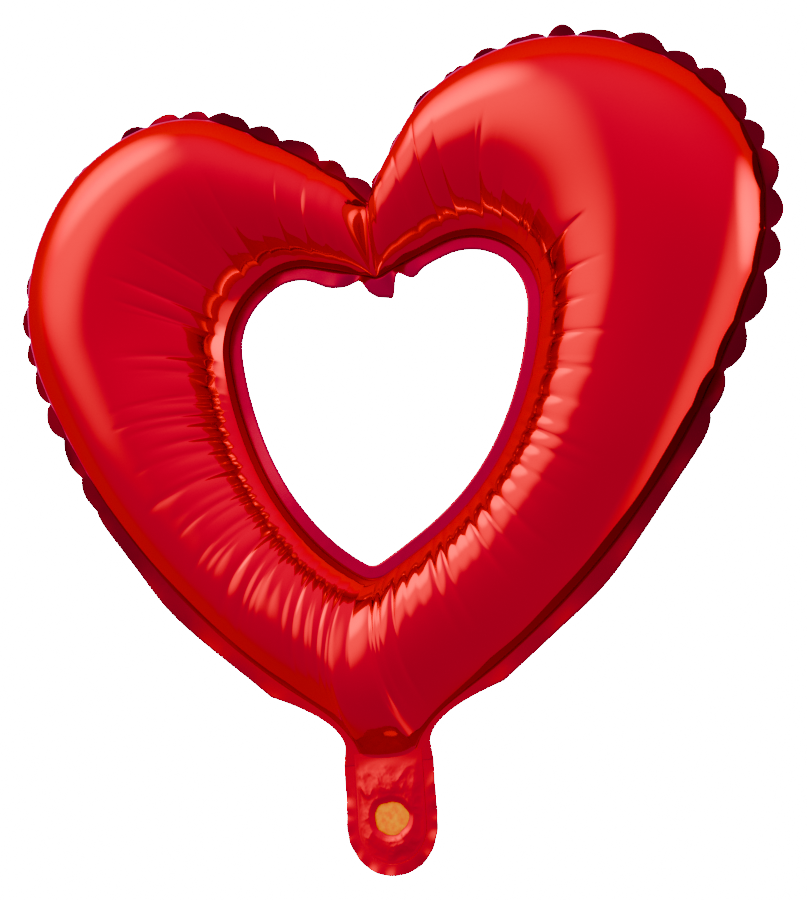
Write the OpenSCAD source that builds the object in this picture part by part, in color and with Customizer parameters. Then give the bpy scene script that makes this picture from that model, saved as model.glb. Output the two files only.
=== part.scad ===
// Heart-shaped foil balloon with an open heart in the middle.
// Two foil sheets are heat-sealed along an outer and an inner heart, and inflated into a round tube.
// A flat filling tail hangs below the heart's tip and holds a self-sealing film valve.
// Frame: +Z up, -Y is the front, and the origin is the neck, where a ribbon is tied.

/* [Outer heart] */
// Radius of each outer lobe, at the seam
lobe_r = 90; // [86:1:94]
// Distance of a lobe's centre from the middle
lobe_x = 82; // [80:1:84]
// Height of the lobes' centres above the neck
lobe_z = 214; // [210:1:218]
// Radius of the inner shoulders, where the lobes dip into the notch
shoulder_r = 60; // [56:1:64]
// Height of the notch between the lobes
cleft_z = 246; // [242:1:250]
// Height of the heart's lower point
tip_z = 4; // [4:0.5:8]
// Radius of the long sides
side_r = 322; // [310:2:340]
// Radius that rounds the lower point
tip_r = 13; // [12:1:15]
// How far the filled heart's lower point and its tail lean to the left
tip_lean = 8; // [0:1:8]

/* [Open heart in the middle] */
// Radius of each inner lobe, at the seam
hole_lobe_r = 35; // [33:1:37]
// Distance of an inner lobe's centre from the middle
hole_lobe_x = 41; // [40:1:43]
// Height of the inner lobes' centres
hole_lobe_z = 187; // [184:1:189]
// Height of the inner notch
hole_cleft_z = 210; // [207:1:212]
// Height of the inner heart's lower point
hole_tip_z = 69; // [66:1:72]
// Radius of the inner heart's sides
hole_side_r = 150; // [140:2:170]
// Radius that rounds the inner lower point
hole_tip_r = 13; // [11:1:15]

/* [Tube] */
// Largest thickness of the inflated tube, front to back
tube_depth = 92; // [80:1:100]
// Thickness of a foil sheet, thicker than real film so that it can be meshed
foil_t = 0.5; // [0.4:0.1:0.8]
// Thickness of the two sheets where they are welded
weld_t = 0.6; // [0.4:0.1:1]

/* [Seam flanges] */
// Width of the outer flange
flange_w = 8; // [6:0.5:9]
// Depth of the notches between scallops, where the flange puckers round the lobes
scallop_d = 5; // [2:0.5:5.5]
// Number of scallops that would go round each side of the heart
scallops = 29; // [24:1:34]
// Width of the flange round the opening
hole_flange_w = 6.5; // [5:0.5:8]

/* [Filling tail] */
// Width of the tail
tail_w = 41; // [38:1:46]
// Length of the tail below the neck
tail_l = 53; // [50:1:60]
// Width of the weld round the tail
tail_weld_w = 5; // [4:0.5:6]
// How far the tail's sheets stand off the middle, to each side
pouch_h = 3.5; // [3:0.5:3.5]
// Radius of the filling hole
port_r = 8; // [7:0.5:9]
// Distance of the filling hole below the neck
port_drop = 29; // [27:1:31]

/* [Valve] */
// Width of the valve's film strip
valve_w = 26; // [24:1:28]
// Thickness of one valve film
valve_t = 0.3; // [0.2:0.1:0.4]
// Width of the weld along each edge of the valve
valve_weld_w = 2; // [1.5:0.5:3]
// Length of the valve's sleeve inside the balloon
sleeve_l = 46; // [30:2:50]

/* [Hidden] */
foil_red = [0.78, 0.02, 0.06];
weld_red = [0.66, 0.01, 0.10];
clear_film = [0.92, 0.92, 0.90];
coat_orange = [0.95, 0.55, 0.05];
shoulder_turn = 115;    // angle at which an outer shoulder meets its lobe
hole_turn = 80;         // angle at which an inner shoulder meets its lobe
line_n = 5;        // stations along the straight run out of a notch
shoulder_n = 6;    // stations over a shoulder
lobe_n = 18;       // stations round a lobe
side_n = 26;       // stations down a side
tip_n = 4;         // stations round half of the lower point
across_n = 10;     // rows across the tube, from the outer seam to the inner one
scallop_points = 5;    // points along each scallop's edge
pucker_from = 120;     // height at which the outer flange starts to pucker
pucker_rise = 30;      // and how much higher it is puckered fully
flare_h = 22;      // height above the heart's point at which the neck's flare has run out
flare_w = 10;      // how far the flare spreads past the tail, to each side
fold_r = 0.5;      // radius of the rolled crease that the tail folds about
fold_gap = 0.2;    // clearance round that crease
pouch_top = -8;    // where the tail's pouch begins, clear of the fold
pouch_wall = 0.4;
play = 0.1;        // clearance between films that only lie on each other
film_gap = 0.1;    // between the two closed valve films
flap_axis_z = -(tail_l - 12);
lean_top = 200;    // height above which the heart stands upright
coat_t = 0.1;
seam_point = 1.3;  // 1 gives a plain oval section, and more gives one that is pointed at the seams
notch_pinch = 0.45;    // share of the tube's depth that is lost in the notch
pinch_w = 12;          // and how far from the notch it recovers
sleeve_inset = 3;      // the sleeve is narrower than the valve by this much, on each side
sleeve_bore = 0.6;     // gap between the sleeve's two films

function dir(a) = [cos(a), sin(a)];
function arc(c, r, from, to, n) = [for (i = [1:n]) c + r * dir(from + (to - from) * i / n)];

// Right half of a heart, from its notch over the shoulder, round the lobe and down the side
// to its lower point. Each circle touches the next one, and the shoulder meets the lobe at
// the angle turn.
function half_heart(x, z, r, shoulder, turn, notch, low, big_r, low_r) =
    let (low_c = [0, low + low_r],
         to_lobe = [x, z] - low_c,
         reach = norm(to_lobe),
         gap = big_r - r,
         lobe_end = atan2(to_lobe[1], to_lobe[0])
             - acos((reach * reach + gap * gap - pow(big_r - low_r, 2)) / (2 * gap * reach)),
         big_c = [x, z] - gap * dir(lobe_end),
         side_end = atan2(low_c[1] - big_c[1], low_c[0] - big_c[0]),
         shoulder_c = [x, z] + (r - shoulder) * dir(turn),
         to_notch = [0, notch] - shoulder_c,
         start = atan2(to_notch[1], to_notch[0]) - acos(shoulder / norm(to_notch)),
         first = shoulder_c + shoulder * dir(start))
    concat([for (i = [0:line_n]) [0, notch] + (first - [0, notch]) * i / line_n],
           arc(shoulder_c, shoulder, start, turn, shoulder_n),
           arc([x, z], r, turn, lobe_end, lobe_n),
           arc(big_c, big_r, lobe_end, side_end, side_n),
           arc(low_c, low_r, side_end, -90, tip_n));

// A point of the heart's plane, moved over with the lean: most at the neck, none past lean_top.
function leant(p) = p - [tip_lean * pow(max(0, 1 - p[1] / lean_top), 2), 0];

// A whole heart, clockwise from its notch.
function whole(half) =
    [for (p = concat(half, [for (i = [len(half) - 2:-1:1]) [-half[i][0], half[i][1]]])) leant(p)];

outer_half = half_heart(lobe_x, lobe_z, lobe_r, shoulder_r, shoulder_turn, cleft_z, tip_z,
                        side_r, tip_r);
inner_half = half_heart(hole_lobe_x, hole_lobe_z, hole_lobe_r, hole_lobe_r, hole_turn,
                        hole_cleft_z, hole_tip_z, hole_side_r, hole_tip_r);
outer_line = whole(outer_half);
inner_line = whole(inner_half);
stations = len(outer_line);
widest = max([for (i = [0:stations - 1]) norm(outer_line[i] - inner_line[i])]);

// Half the tube's depth at a station: the wider the tube there, the fuller it is. It is
// pinched in the notch, where the lobes press together.
function depth_at(i) =
    tube_depth / 2 * pow(norm(outer_line[i] - inner_line[i]) / widest, 0.7)
    * (1 - notch_pinch * exp(-norm(outer_line[i] - outer_line[0]) / pinch_w));

// A point of the tube's half-oval section at station i, at angle a from the outer seam,
// drawn in by wall from the outer surface. The oval is drawn to a point at both seams.
function section_point(i, a, wall) =
    let (o = outer_line[i], e = inner_line[i],
         mid = (o + e) / 2,
         half_w = norm(o - e) / 2,
         p = mid + (o - e) / 2 * cos(a) * (half_w - wall) / half_w)
    [p[0], -weld_t / 2 - (depth_at(i) - wall) * pow(sin(a), seam_point), p[1]];

// Outward normal of a closed clockwise outline at point i.
function normal_at(line, i) =
    let (n = len(line), d = line[(i + 1) % n] - line[(i + n - 1) % n])
    [-d[1], d[0]] / norm(d);

// A whole heart, moved outwards by w; what would cross the middle is left out.
function widened(half, w) =
    let (n = len(half),
         out = half[1] - half[0],
         moved = [for (i = [1:n - 2]) half[i] + w * normal_at(half, i)])
    whole(concat([[0, half[0][1] + w * norm(out) / out[0]]],
                 [for (p = moved) if (p[0] > 0.4) p],
                 [half[n - 1] - [0, w]]));

// The same outline with points spread evenly along it.
function run(line) =
    [for (i = 0, s = 0; i <= len(line);
          s = s + norm(line[(i + 1) % len(line)] - line[i % len(line)]), i = i + 1) s];
function place(line, lengths, s, i = 0) =
    lengths[i + 1] >= s || i >= len(line) - 1
    ? line[i] + (line[(i + 1) % len(line)] - line[i]) * (s - lengths[i]) / (lengths[i + 1] - lengths[i])
    : place(line, lengths, s, i + 1);
function even(line, n) =
    let (lengths = run(line), total = lengths[len(line)])
    [for (i = [0:n - 1]) place(line, lengths, total * i / n)];

module flat_ring(outside, inside) {
    n = len(outside);
    m = len(inside);
    rotate([90, 0, 0])
        linear_extrude(height = weld_t, center = true)
            polygon(concat(outside, inside), [[for (i = [0:n - 1]) i], [for (i = [0:m - 1]) n + i]]);
}

// One inflated sheet: a thin wall over half of the tube's section, all the way round.
module panel() {
    rows = across_n + 1;
    ring = 2 * rows;
    points = [for (i = [0:stations - 1])
        each concat([for (k = [0:across_n]) section_point(i, 180 * k / across_n, 0)],
                    [for (k = [across_n:-1:0]) section_point(i, 180 * k / across_n, foil_t)])];
    faces = [for (i = [0:stations - 1]) for (k = [0:ring - 1])
        let (a = i * ring + k, b = i * ring + (k + 1) % ring,
             c = ((i + 1) % stations) * ring + (k + 1) % ring, d = ((i + 1) % stations) * ring + k)
        each [[a, b, c], [a, c, d]]];
    polyhedron(points, faces, convexity = 6);
}

module front_panel() {
    color(foil_red) panel();
}

module rear_panel() {
    color(foil_red) mirror([0, 1, 0]) panel();
}

// How far the flange is puckered at a height: fully round the lobes, and not at all lower down,
// where the seam runs nearly straight.
function pucker(z) = min(1, max(0, (z - pucker_from) / pucker_rise));

// Everything below the neck stands over to the side with the lean.
module leant_tail() {
    translate([-tip_lean, 0, 0]) children();
}

// The neck's outline: hollow sides that spread from the tail's width into the heart's seam.
module neck_flare() {
    near = tail_w / 2;
    bend = tip_z + 4;
    far = tip_z + flare_h - flare_w;
    polygon([[-near, 0], [near, 0], [near + 2, bend], [near + flare_w, far],
             [0, tip_z + 6], [-near - flare_w, far], [-near - 2, bend]]);
}

// The outer flange, with its puckered edge, and the flare that joins it to the tail. Its foot
// stops clear of the crease that the tail swings about.
module outer_seam() {
    edge_n = 2 * scallops * scallop_points;
    base = even(widened(outer_half, flange_w), edge_n);
    edge = [for (i = [0:edge_n - 1])
        base[i] - normal_at(base, i) * scallop_d * pucker(base[i][1])
                  * (1 - abs(sin(180 * i / scallop_points)))];
    inside = widened(outer_half, -foil_t);
    foot = fold_r + fold_gap;
    color(weld_red) difference() {
        union() {
            flat_ring(edge, inside);
            leant_tail() rotate([90, 0, 0])
                linear_extrude(height = weld_t, center = true)
                    neck_flare();
        }
        rotate([90, 0, 0])
            linear_extrude(height = 2 * weld_t, center = true)
                polygon(inside);
        translate([-tail_w, -weld_t, foot - 2 * flange_w])
            cube([2 * tail_w, 2 * weld_t, 2 * flange_w]);
    }
}

module inner_seam() {
    color(weld_red)
        flat_ring(widened(inner_half, foil_t), widened(inner_half, -hole_flange_w));
}

// Outline of the tail, from the given height down to its round end, with the given inset.
module tail_outline(top, inset) {
    r = tail_w / 2 - inset;
    translate([-r, -tail_l + tail_w / 2])
        square([2 * r, top + tail_l - tail_w / 2]);
    translate([0, -tail_l + tail_w / 2])
        circle(r = r, $fn = 64);
}

// The U-shaped weld that joins the tail's two sheets, and the rolled crease at the neck
// that the tail swings about.
module tail_seam() {
    color(weld_red) leant_tail() {
        rotate([90, 0, 0])
            linear_extrude(height = weld_t, center = true)
                difference() {
                    tail_outline(0, 0);
                    tail_outline(1, tail_weld_w);
                }
        rotate([0, 90, 0])
            cylinder(r = fold_r, h = tail_w, center = true, $fn = 32);
    }
}

// One of the tail's sheets: a shallow tray that stands off the weld, and a flat strip that
// carries it up to the neck.
module tail_film() {
    low = film_gap / 2 + valve_t + play;
    rotate([90, 0, 0]) difference() {
        union() {
            translate([0, 0, weld_t / 2])
                linear_extrude(height = pouch_h - weld_t / 2)
                    tail_outline(pouch_top, tail_weld_w - pouch_wall);
            translate([-tail_w / 2 + tail_weld_w - pouch_wall, pouch_top - 1, weld_t / 2])
                cube([tail_w - 2 * tail_weld_w + 2 * pouch_wall, -pouch_top, low + pouch_wall - weld_t / 2]);
        }
        translate([0, 0, -1])
            linear_extrude(height = low + 1)
                tail_outline(1, tail_weld_w);
        translate([0, 0, -1])
            linear_extrude(height = pouch_h - pouch_wall + 1)
                tail_outline(pouch_top - pouch_wall, tail_weld_w);
    }
}

module tail_front_film() {
    color(foil_red) leant_tail() difference() {
        tail_film();
        translate([0, 0, -port_drop])
            rotate([90, 0, 0])
                cylinder(r = port_r, h = 2 * pouch_h, $fn = 64);
    }
}

module tail_rear_film() {
    color(foil_red) leant_tail() mirror([0, 1, 0]) tail_film();
}

module strip(width, low, high, near, far) {
    translate([-width / 2, near, low]) cube([width, far - near, high - low]);
}

// The front film is sealed to the tail round the filling hole, so it has a hole there too.
module valve_front_film() {
    thick = 2 * valve_t;
    color(clear_film) leant_tail() difference() {
        strip(tail_w, -tail_l, pouch_top - 1, -film_gap / 2 - valve_t, -film_gap / 2);
        rotate([90, 0, 0])
            linear_extrude(height = 2 * thick, center = true)
                difference() {
                    square(3 * tail_l, center = true);
                    tail_outline(1, tail_weld_w + play);
                }
        translate([0, 0, -port_drop])
            rotate([90, 0, 0])
                cylinder(r = port_r, h = 2 * thick, center = true, $fn = 64);
    }
}

// The film that lifts off the front one when a straw goes in; its foot is rolled round the
// line that it bends about.
module valve_rear_film() {
    width = valve_w - 2 * valve_weld_w - 4 * play;
    color(clear_film) leant_tail() {
        strip(width, flap_axis_z, pouch_top - 2, film_gap / 2, film_gap / 2 + valve_t);
        translate([0, film_gap / 2 + valve_t, flap_axis_z])
            rotate([0, 90, 0])
                cylinder(r = valve_t, h = width, center = true, $fn = 24);
    }
}

// The welds along the valve's two edges.
module valve_welds() {
    color(clear_film) leant_tail() for (s = [-1, 1])
        translate([s * (valve_w / 2 - valve_weld_w / 2), 0, 0])
            strip(valve_weld_w, flap_axis_z, pouch_top - 1, -film_gap / 2, film_gap / 2 + valve_t);
}

// Heat-proof coat printed on the rear film behind the filling hole, which keeps the valve
// from being welded shut there.
module release_coat() {
    color(coat_orange) leant_tail() translate([0, film_gap / 2 - coat_t / 2, -port_drop])
        rotate([-90, 0, 0])
            cylinder(r = port_r + valve_t, h = coat_t / 2, $fn = 64);
}

// The valve's upper end: a flat sleeve of two films that hangs inside the balloon above the neck.
module valve_sleeve() {
    low = tip_z + foil_t;
    inside_w = valve_w - 2 * sleeve_inset - 2 * valve_t;
    depth = sleeve_bore + 2 * valve_t;
    color(clear_film) difference() {
        leant_tail() difference() {
            strip(inside_w + 2 * valve_t, low, low + sleeve_l, -depth / 2, depth / 2);
            strip(inside_w, low - 1, low + sleeve_l + 1, -sleeve_bore / 2, sleeve_bore / 2);
        }
        rotate([90, 0, 0])
            linear_extrude(height = 2 * depth, center = true)
                difference() {
                    translate([-tail_w, -tip_r]) square([2 * tail_w, tip_z + 2 * tip_r]);
                    polygon(widened(outer_half, -foil_t));
                }
    }
}

front_panel();
rear_panel();
outer_seam();
inner_seam();
valve_sleeve();
tail_seam();
tail_front_film();
tail_rear_film();
valve_front_film();
valve_welds();
valve_rear_film();
release_coat();
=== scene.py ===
"""Heart-shaped foil balloon with an open heart in the middle, for Blender 4.5.

Two foil sheets are welded along an outer and an inner heart and filled into a round tube. The
film gathers into creases where the tube turns, and the weld puckers round the lobes.
"""
import math

import bmesh
import bpy
import numpy as np
from bpy.props import FloatProperty, FloatVectorProperty, IntProperty, PointerProperty
from mathutils import Matrix, Vector, noise


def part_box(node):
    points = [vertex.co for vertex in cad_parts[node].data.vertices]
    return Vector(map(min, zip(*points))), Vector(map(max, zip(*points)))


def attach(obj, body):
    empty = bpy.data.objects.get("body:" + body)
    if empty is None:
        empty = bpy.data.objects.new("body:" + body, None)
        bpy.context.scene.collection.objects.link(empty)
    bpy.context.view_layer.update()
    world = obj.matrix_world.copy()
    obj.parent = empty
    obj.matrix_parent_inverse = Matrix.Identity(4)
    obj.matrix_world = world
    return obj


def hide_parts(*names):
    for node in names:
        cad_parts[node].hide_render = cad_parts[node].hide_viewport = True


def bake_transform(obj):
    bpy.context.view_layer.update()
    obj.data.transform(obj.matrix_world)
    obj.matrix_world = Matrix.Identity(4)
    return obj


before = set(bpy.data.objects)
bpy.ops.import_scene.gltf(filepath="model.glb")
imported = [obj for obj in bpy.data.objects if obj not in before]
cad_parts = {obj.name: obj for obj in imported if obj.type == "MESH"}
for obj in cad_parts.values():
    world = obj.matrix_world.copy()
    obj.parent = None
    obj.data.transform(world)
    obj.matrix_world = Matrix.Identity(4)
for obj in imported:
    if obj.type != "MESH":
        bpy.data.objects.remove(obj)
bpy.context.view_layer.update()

bl_info = {
    "name": "Heart foil balloon",
    "version": (1, 0, 0),
    "blender": (4, 5, 0),
    "location": "3D View > Sidebar > Balloon",
    "description": "Builds a filled heart-shaped foil balloon round its packed frame",
    "category": "Add Mesh",
}

MM = 0.001
HEART_LOW, HEART_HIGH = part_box("front_panel")
HOLE_LOW, HOLE_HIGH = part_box("inner_seam")
TAIL_LOW, TAIL_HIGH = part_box("tail_seam")
FLAP_LOW, FLAP_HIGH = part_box("valve_rear_film")
COAT_LOW, COAT_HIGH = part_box("release_coat")
HALF_FLAP = (FLAP_HIGH.x - FLAP_LOW.x) / 2
HALF_TAIL = (TAIL_HIGH.x - TAIL_LOW.x) / 2
TAIL_MIDDLE = (TAIL_LOW.x + TAIL_HIGH.x) / 2
TAIL_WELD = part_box("tail_front_film")[0].x - TAIL_LOW.x + 0.4 * MM      # width of its weld
PORT_Z = (COAT_LOW.z + COAT_HIGH.z) / 2     # height of the filling hole's centre
FLAP_TURN = math.radians(4)     # how far the valve's rear film lifts, from its foot
WELD = 0.3 * MM         # half the thickness of the welded film
LOBE_RADIUS = 90 * MM   # of the outer seam
HOLE_RADIUS = 35 * MM   # of the lobes of the opening's seam
SEAM_EDGE = 0.5 * MM    # how far the inner weld's box reaches past its seam


# ---- Sizes and colours that a user would change

def length(name, description, default):
    """A size in metres."""
    return FloatProperty(name=name, description=description, default=default, unit="LENGTH",
                         precision=4)


def colour(name, description, default):
    """A linear colour."""
    return FloatVectorProperty(name=name, description=description, default=default,
                               subtype="COLOR", size=3, min=0, max=1)


class BalloonHeart(bpy.types.PropertyGroup):
    """The seams of the filled heart."""
    lobe_radius: length("Lobe radius", "Radius of each outer lobe, at the seam", LOBE_RADIUS)
    lobe_x: length("Lobe offset", "Distance of a lobe's centre from the middle",
                   HEART_HIGH.x - LOBE_RADIUS)
    lobe_z: length("Lobe height", "Height of the lobes' centres", HEART_HIGH.z - LOBE_RADIUS)
    shoulder_radius: length("Shoulder radius", "Radius where a lobe dips into the notch", 60 * MM)
    notch_z: length("Notch height", "Height of the notch between the lobes", 246 * MM)
    point_z: length("Point height", "Height of the heart's lower point", HEART_LOW.z)
    side_radius: length("Side radius", "Radius of the long sides", 322 * MM)
    point_radius: length("Point radius", "Radius that rounds the lower point", 13 * MM)
    tube_depth: length("Tube depth", "Thickness of the filled tube, front to back",
                       -2 * HEART_LOW.y)
    lean: length("Lean", "How far the lower point leans to the left", -TAIL_MIDDLE)
    lean_top: length("Lean height", "Height above which the heart stands upright", 200 * MM)


class BalloonHole(bpy.types.PropertyGroup):
    """The open heart in the middle."""
    lobe_radius: length("Lobe radius", "Radius of each inner lobe, at the seam", HOLE_RADIUS)
    lobe_x: length("Lobe offset", "Distance of an inner lobe's centre from the middle",
                   HOLE_HIGH.x - (HOLE_RADIUS + SEAM_EDGE))
    lobe_z: length("Lobe height", "Height of the inner lobes' centres",
                   HOLE_HIGH.z - (HOLE_RADIUS + SEAM_EDGE))
    notch_z: length("Notch height", "Height of the inner notch", 210 * MM)
    point_z: length("Point height", "Height of the inner point", HOLE_LOW.z + SEAM_EDGE)
    side_radius: length("Side radius", "Radius of the inner sides", 150 * MM)
    point_radius: length("Point radius", "Radius that rounds the inner point", 13 * MM)
    flange: length("Flange", "Width of the weld round the opening", 6.5 * MM)


class BalloonFoil(bpy.types.PropertyGroup):
    """How the film gathers, and what it looks like."""
    flange: length("Outer flange", "Width of the outer weld", 8 * MM)
    scallop: length("Scallop", "Usual length of a scallop round the lobes", 17.5 * MM)
    notch: length("Scallop notch", "Depth of the notches between scallops", 5.4 * MM)
    crease: length("Pleat spacing", "Usual gap between the pleats round the opening", 5.0 * MM)
    tongue: length("Tongue width", "Width of the filled tongue in the neck", 27.5 * MM)
    tongue_z: length("Tongue height", "Height at which the tongue in the neck ends", -4 * MM)
    foot_z: length("Foot height", "Height at which the heart's film passes into the tail's",
                   -6 * MM)
    seed: IntProperty(name="Seed", description="Arrangement of the creases", default=7)
    red: colour("Foil", "Colour of the metallised film", (0.80, 0.020, 0.038))
    weld: colour("Weld", "Colour of the film where two sheets are welded", (0.52, 0.010, 0.060))
    # painted shade: the scallops' colour is far darker than the foil's own red, so that the curled
    # outer weld shows dark
    scallops: colour("Scallops", "Colour of the curled outer weld", (0.22, 0.003, 0.016))
    film: colour("Valve film", "Colour of the clear valve film", (0.80, 0.80, 0.78))
    coat: colour("Coat", "Colour of the heat-proof coat in the valve", (1.0, 0.27, 0.0))


# ---- Outlines

STRETCHES = (24, 60, 196, 180, 30)     # columns along the notch line, shoulder, lobe, side, point
SHOULDER_TURN = math.radians(115)      # where an outer lobe passes into its shoulder
HOLE_TURN = math.radians(80)           # the same for the opening
SHARP_NOTCH = (8 * MM, 36 * MM)        # the notch stays sharp up to here, and is eased from here
EASE_OUTER, EASE_INNER = 16, 12        # columns over which their arcs run into each other
# where the lobes of this filled balloon have settled out of their true outline: how far outward,
# at what part of the way round from the notch, and over what part of it
SETTLED = ((-11 * MM, 0.945, 0.035), (3 * MM, 0.83, 0.05), (2 * MM, 0.76, 0.05),
           (6 * MM, 0.21, 0.07), (2 * MM, 0.10, 0.05))
POINT_SHIFT, POINT_SPREAD = (-6 * MM, 4 * MM), 45 * MM      # the same for the opening's point
PINCHES = ((0.30, 16 * MM), (0.52, 3.5 * MM))   # how much flatter the tube is in the notch
DEPTH_POWER = 0.7       # below 1, the tube's narrow parts fill deeper than in proportion
SHOULDER_BACK = 4 * MM          # how far the outer seam stands back at the settled shoulder
LEFT_OUTER, LEFT_INNER = -6 * MM, 3 * MM        # the same for each seam round the left lobe
NECK_REACH = 40 * MM            # height below which the neck shapes the seam
NECK_FLARE, FLARE_HEIGHT, FLARE_POWER = 16 * MM, 20 * MM, 1.6       # its widening as it rises
NECK_START = 8 * MM             # height above which the neck may pass into the sides


def direction(angle):
    """Unit vector at an angle."""
    return np.array([math.cos(angle), math.sin(angle)])


def arc(centre, radius, start, end, count):
    """Points along an arc, without its first one."""
    turns = np.linspace(start, end, count + 1)[1:, None]
    return centre + radius * np.hstack([np.cos(turns), np.sin(turns)])


def half_heart(heart, shoulder_radius, turn):
    """Right half of a heart's seam, from the notch down to the point, made of touching arcs."""
    lobe = np.array([heart.lobe_x, heart.lobe_z])
    low = np.array([0, heart.point_z + heart.point_radius])
    reach = np.linalg.norm(lobe - low)
    gap = heart.side_radius - heart.lobe_radius
    cosine = ((reach ** 2 + gap ** 2 - (heart.side_radius - heart.point_radius) ** 2)
              / (2 * gap * reach))
    lobe_end = math.atan2(*(lobe - low)[::-1]) - math.acos(cosine)
    side = lobe - gap * direction(lobe_end)
    side_end = math.atan2(*(low - side)[::-1])
    shoulder = lobe + (heart.lobe_radius - shoulder_radius) * direction(turn)
    notch = np.array([0, heart.notch_z])
    start = (math.atan2(*(notch - shoulder)[::-1])
             - math.acos(shoulder_radius / np.linalg.norm(notch - shoulder)))
    first = shoulder + shoulder_radius * direction(start)
    line = notch + (first - notch) * np.linspace(0, 1, STRETCHES[0] + 1)[:, None]
    return np.vstack([
        line,
        arc(shoulder, shoulder_radius, start, turn, STRETCHES[1]),
        arc(lobe, heart.lobe_radius, turn, lobe_end, STRETCHES[2]),
        arc(side, heart.side_radius, lobe_end, side_end, STRETCHES[3]),
        arc(low, heart.point_radius, side_end, -math.pi / 2, STRETCHES[4])])


def whole(half):
    """A closed heart, clockwise from its notch, seen from the front."""
    left = half[-2:0:-1] * np.array([-1, 1])
    return np.vstack([half, left])


def along(line):
    """Distance along a closed line at each point, and its whole length."""
    steps = np.linalg.norm(np.roll(line, -1, axis=0) - line, axis=1)
    return np.concatenate([[0], np.cumsum(steps)[:-1]]), steps.sum()


def outward(line):
    """Outward normal at each point of a closed clockwise line."""
    steps = np.roll(line, -1, axis=0) - np.roll(line, 1, axis=0)
    normals = np.stack([-steps[:, 1], steps[:, 0]], axis=1)
    return normals / np.linalg.norm(normals, axis=1)[:, None]


def both_ways(columns):
    """The two ways up from the lower point: 1 or -1, and the columns in that order."""
    middle = columns // 2
    return (1, np.arange(middle, 0, -1)), (-1, np.arange(middle, columns))


def smooth(value, low, high):
    """0 below low, 1 above high, and a smooth rise between them."""
    t = np.clip((value - low) / (high - low), 0, 1)
    return t * t * (3 - 2 * t)


def hump(value, centre, width):
    """1 at the centre, falling off like a bell."""
    return np.exp(-((value - centre) / width) ** 2)


class Scallops:
    """Where the outer weld puckers: the notches between scallops, and each scallop's habits."""
    SPAN = (0.72, 1.32)             # shortest and longest scallop, against the usual length
    LAST = 0.8                      # room that the last scallop needs, against the same
    SCALLOPED = (108 * MM, 150 * MM)    # heights between which the weld's puckers build up
    CURL = (-0.5, 1.0)              # how far a scallop curls forward or back
    DOUBLE = 0.22                   # share of scallops with a dent in the middle
    TALL = (0.82, 1.06)             # their height, against the weld's width

    def __init__(self, foil, distance, total, heights):
        rng = np.random.default_rng(foil.seed)
        marks, at = [0.0], 0.0
        while at < total - self.LAST * foil.scallop:
            at += foil.scallop * rng.uniform(*self.SPAN)
            marks.append(at)
        self.marks = np.array(marks) * total / marks[-1]
        index = np.clip(np.searchsorted(self.marks, distance, side="right") - 1, 0,
                        len(marks) - 2)
        self.place = (distance - self.marks[index]) / (self.marks[index + 1] - self.marks[index])
        self.strength = smooth(heights, *self.SCALLOPED)
        self.curl = rng.uniform(*self.CURL, len(marks))[index]
        self.double = (rng.random(len(marks)) < self.DOUBLE)[index]
        self.tall = rng.uniform(*self.TALL, len(marks))[index]

    def notch_strength(self, distance):
        """How strong the pucker is at each mark."""
        return np.interp(self.marks, distance, self.strength)


def resampled(path, count, first=None):
    """Evenly spaced points along an open path, ends included.

    With first, that share of them is spread over the path's first step."""
    steps = np.concatenate([[0], np.cumsum(np.linalg.norm(np.diff(path, axis=0), axis=1))])
    at = np.linspace(0, steps[-1], count)
    if first:
        at = np.interp(np.linspace(0, 1, count), [0, first, 1], [0, steps[1], steps[-1]])
    return np.stack([np.interp(at, steps, axis) for axis in path.T], axis=1)


def eased(line, reach, keep):
    """A closed line whose arcs run smoothly into each other; keep is 1 where it stays sharp."""
    shifts = np.arange(-3 * reach, 3 * reach + 1)
    kernel = np.exp(-(shifts / reach) ** 2)
    kernel /= kernel.sum()
    soft = sum(weight * np.roll(line, shift, axis=0) for shift, weight in zip(shifts, kernel))
    return line * keep[:, None] + soft * (1 - keep[:, None])


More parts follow.
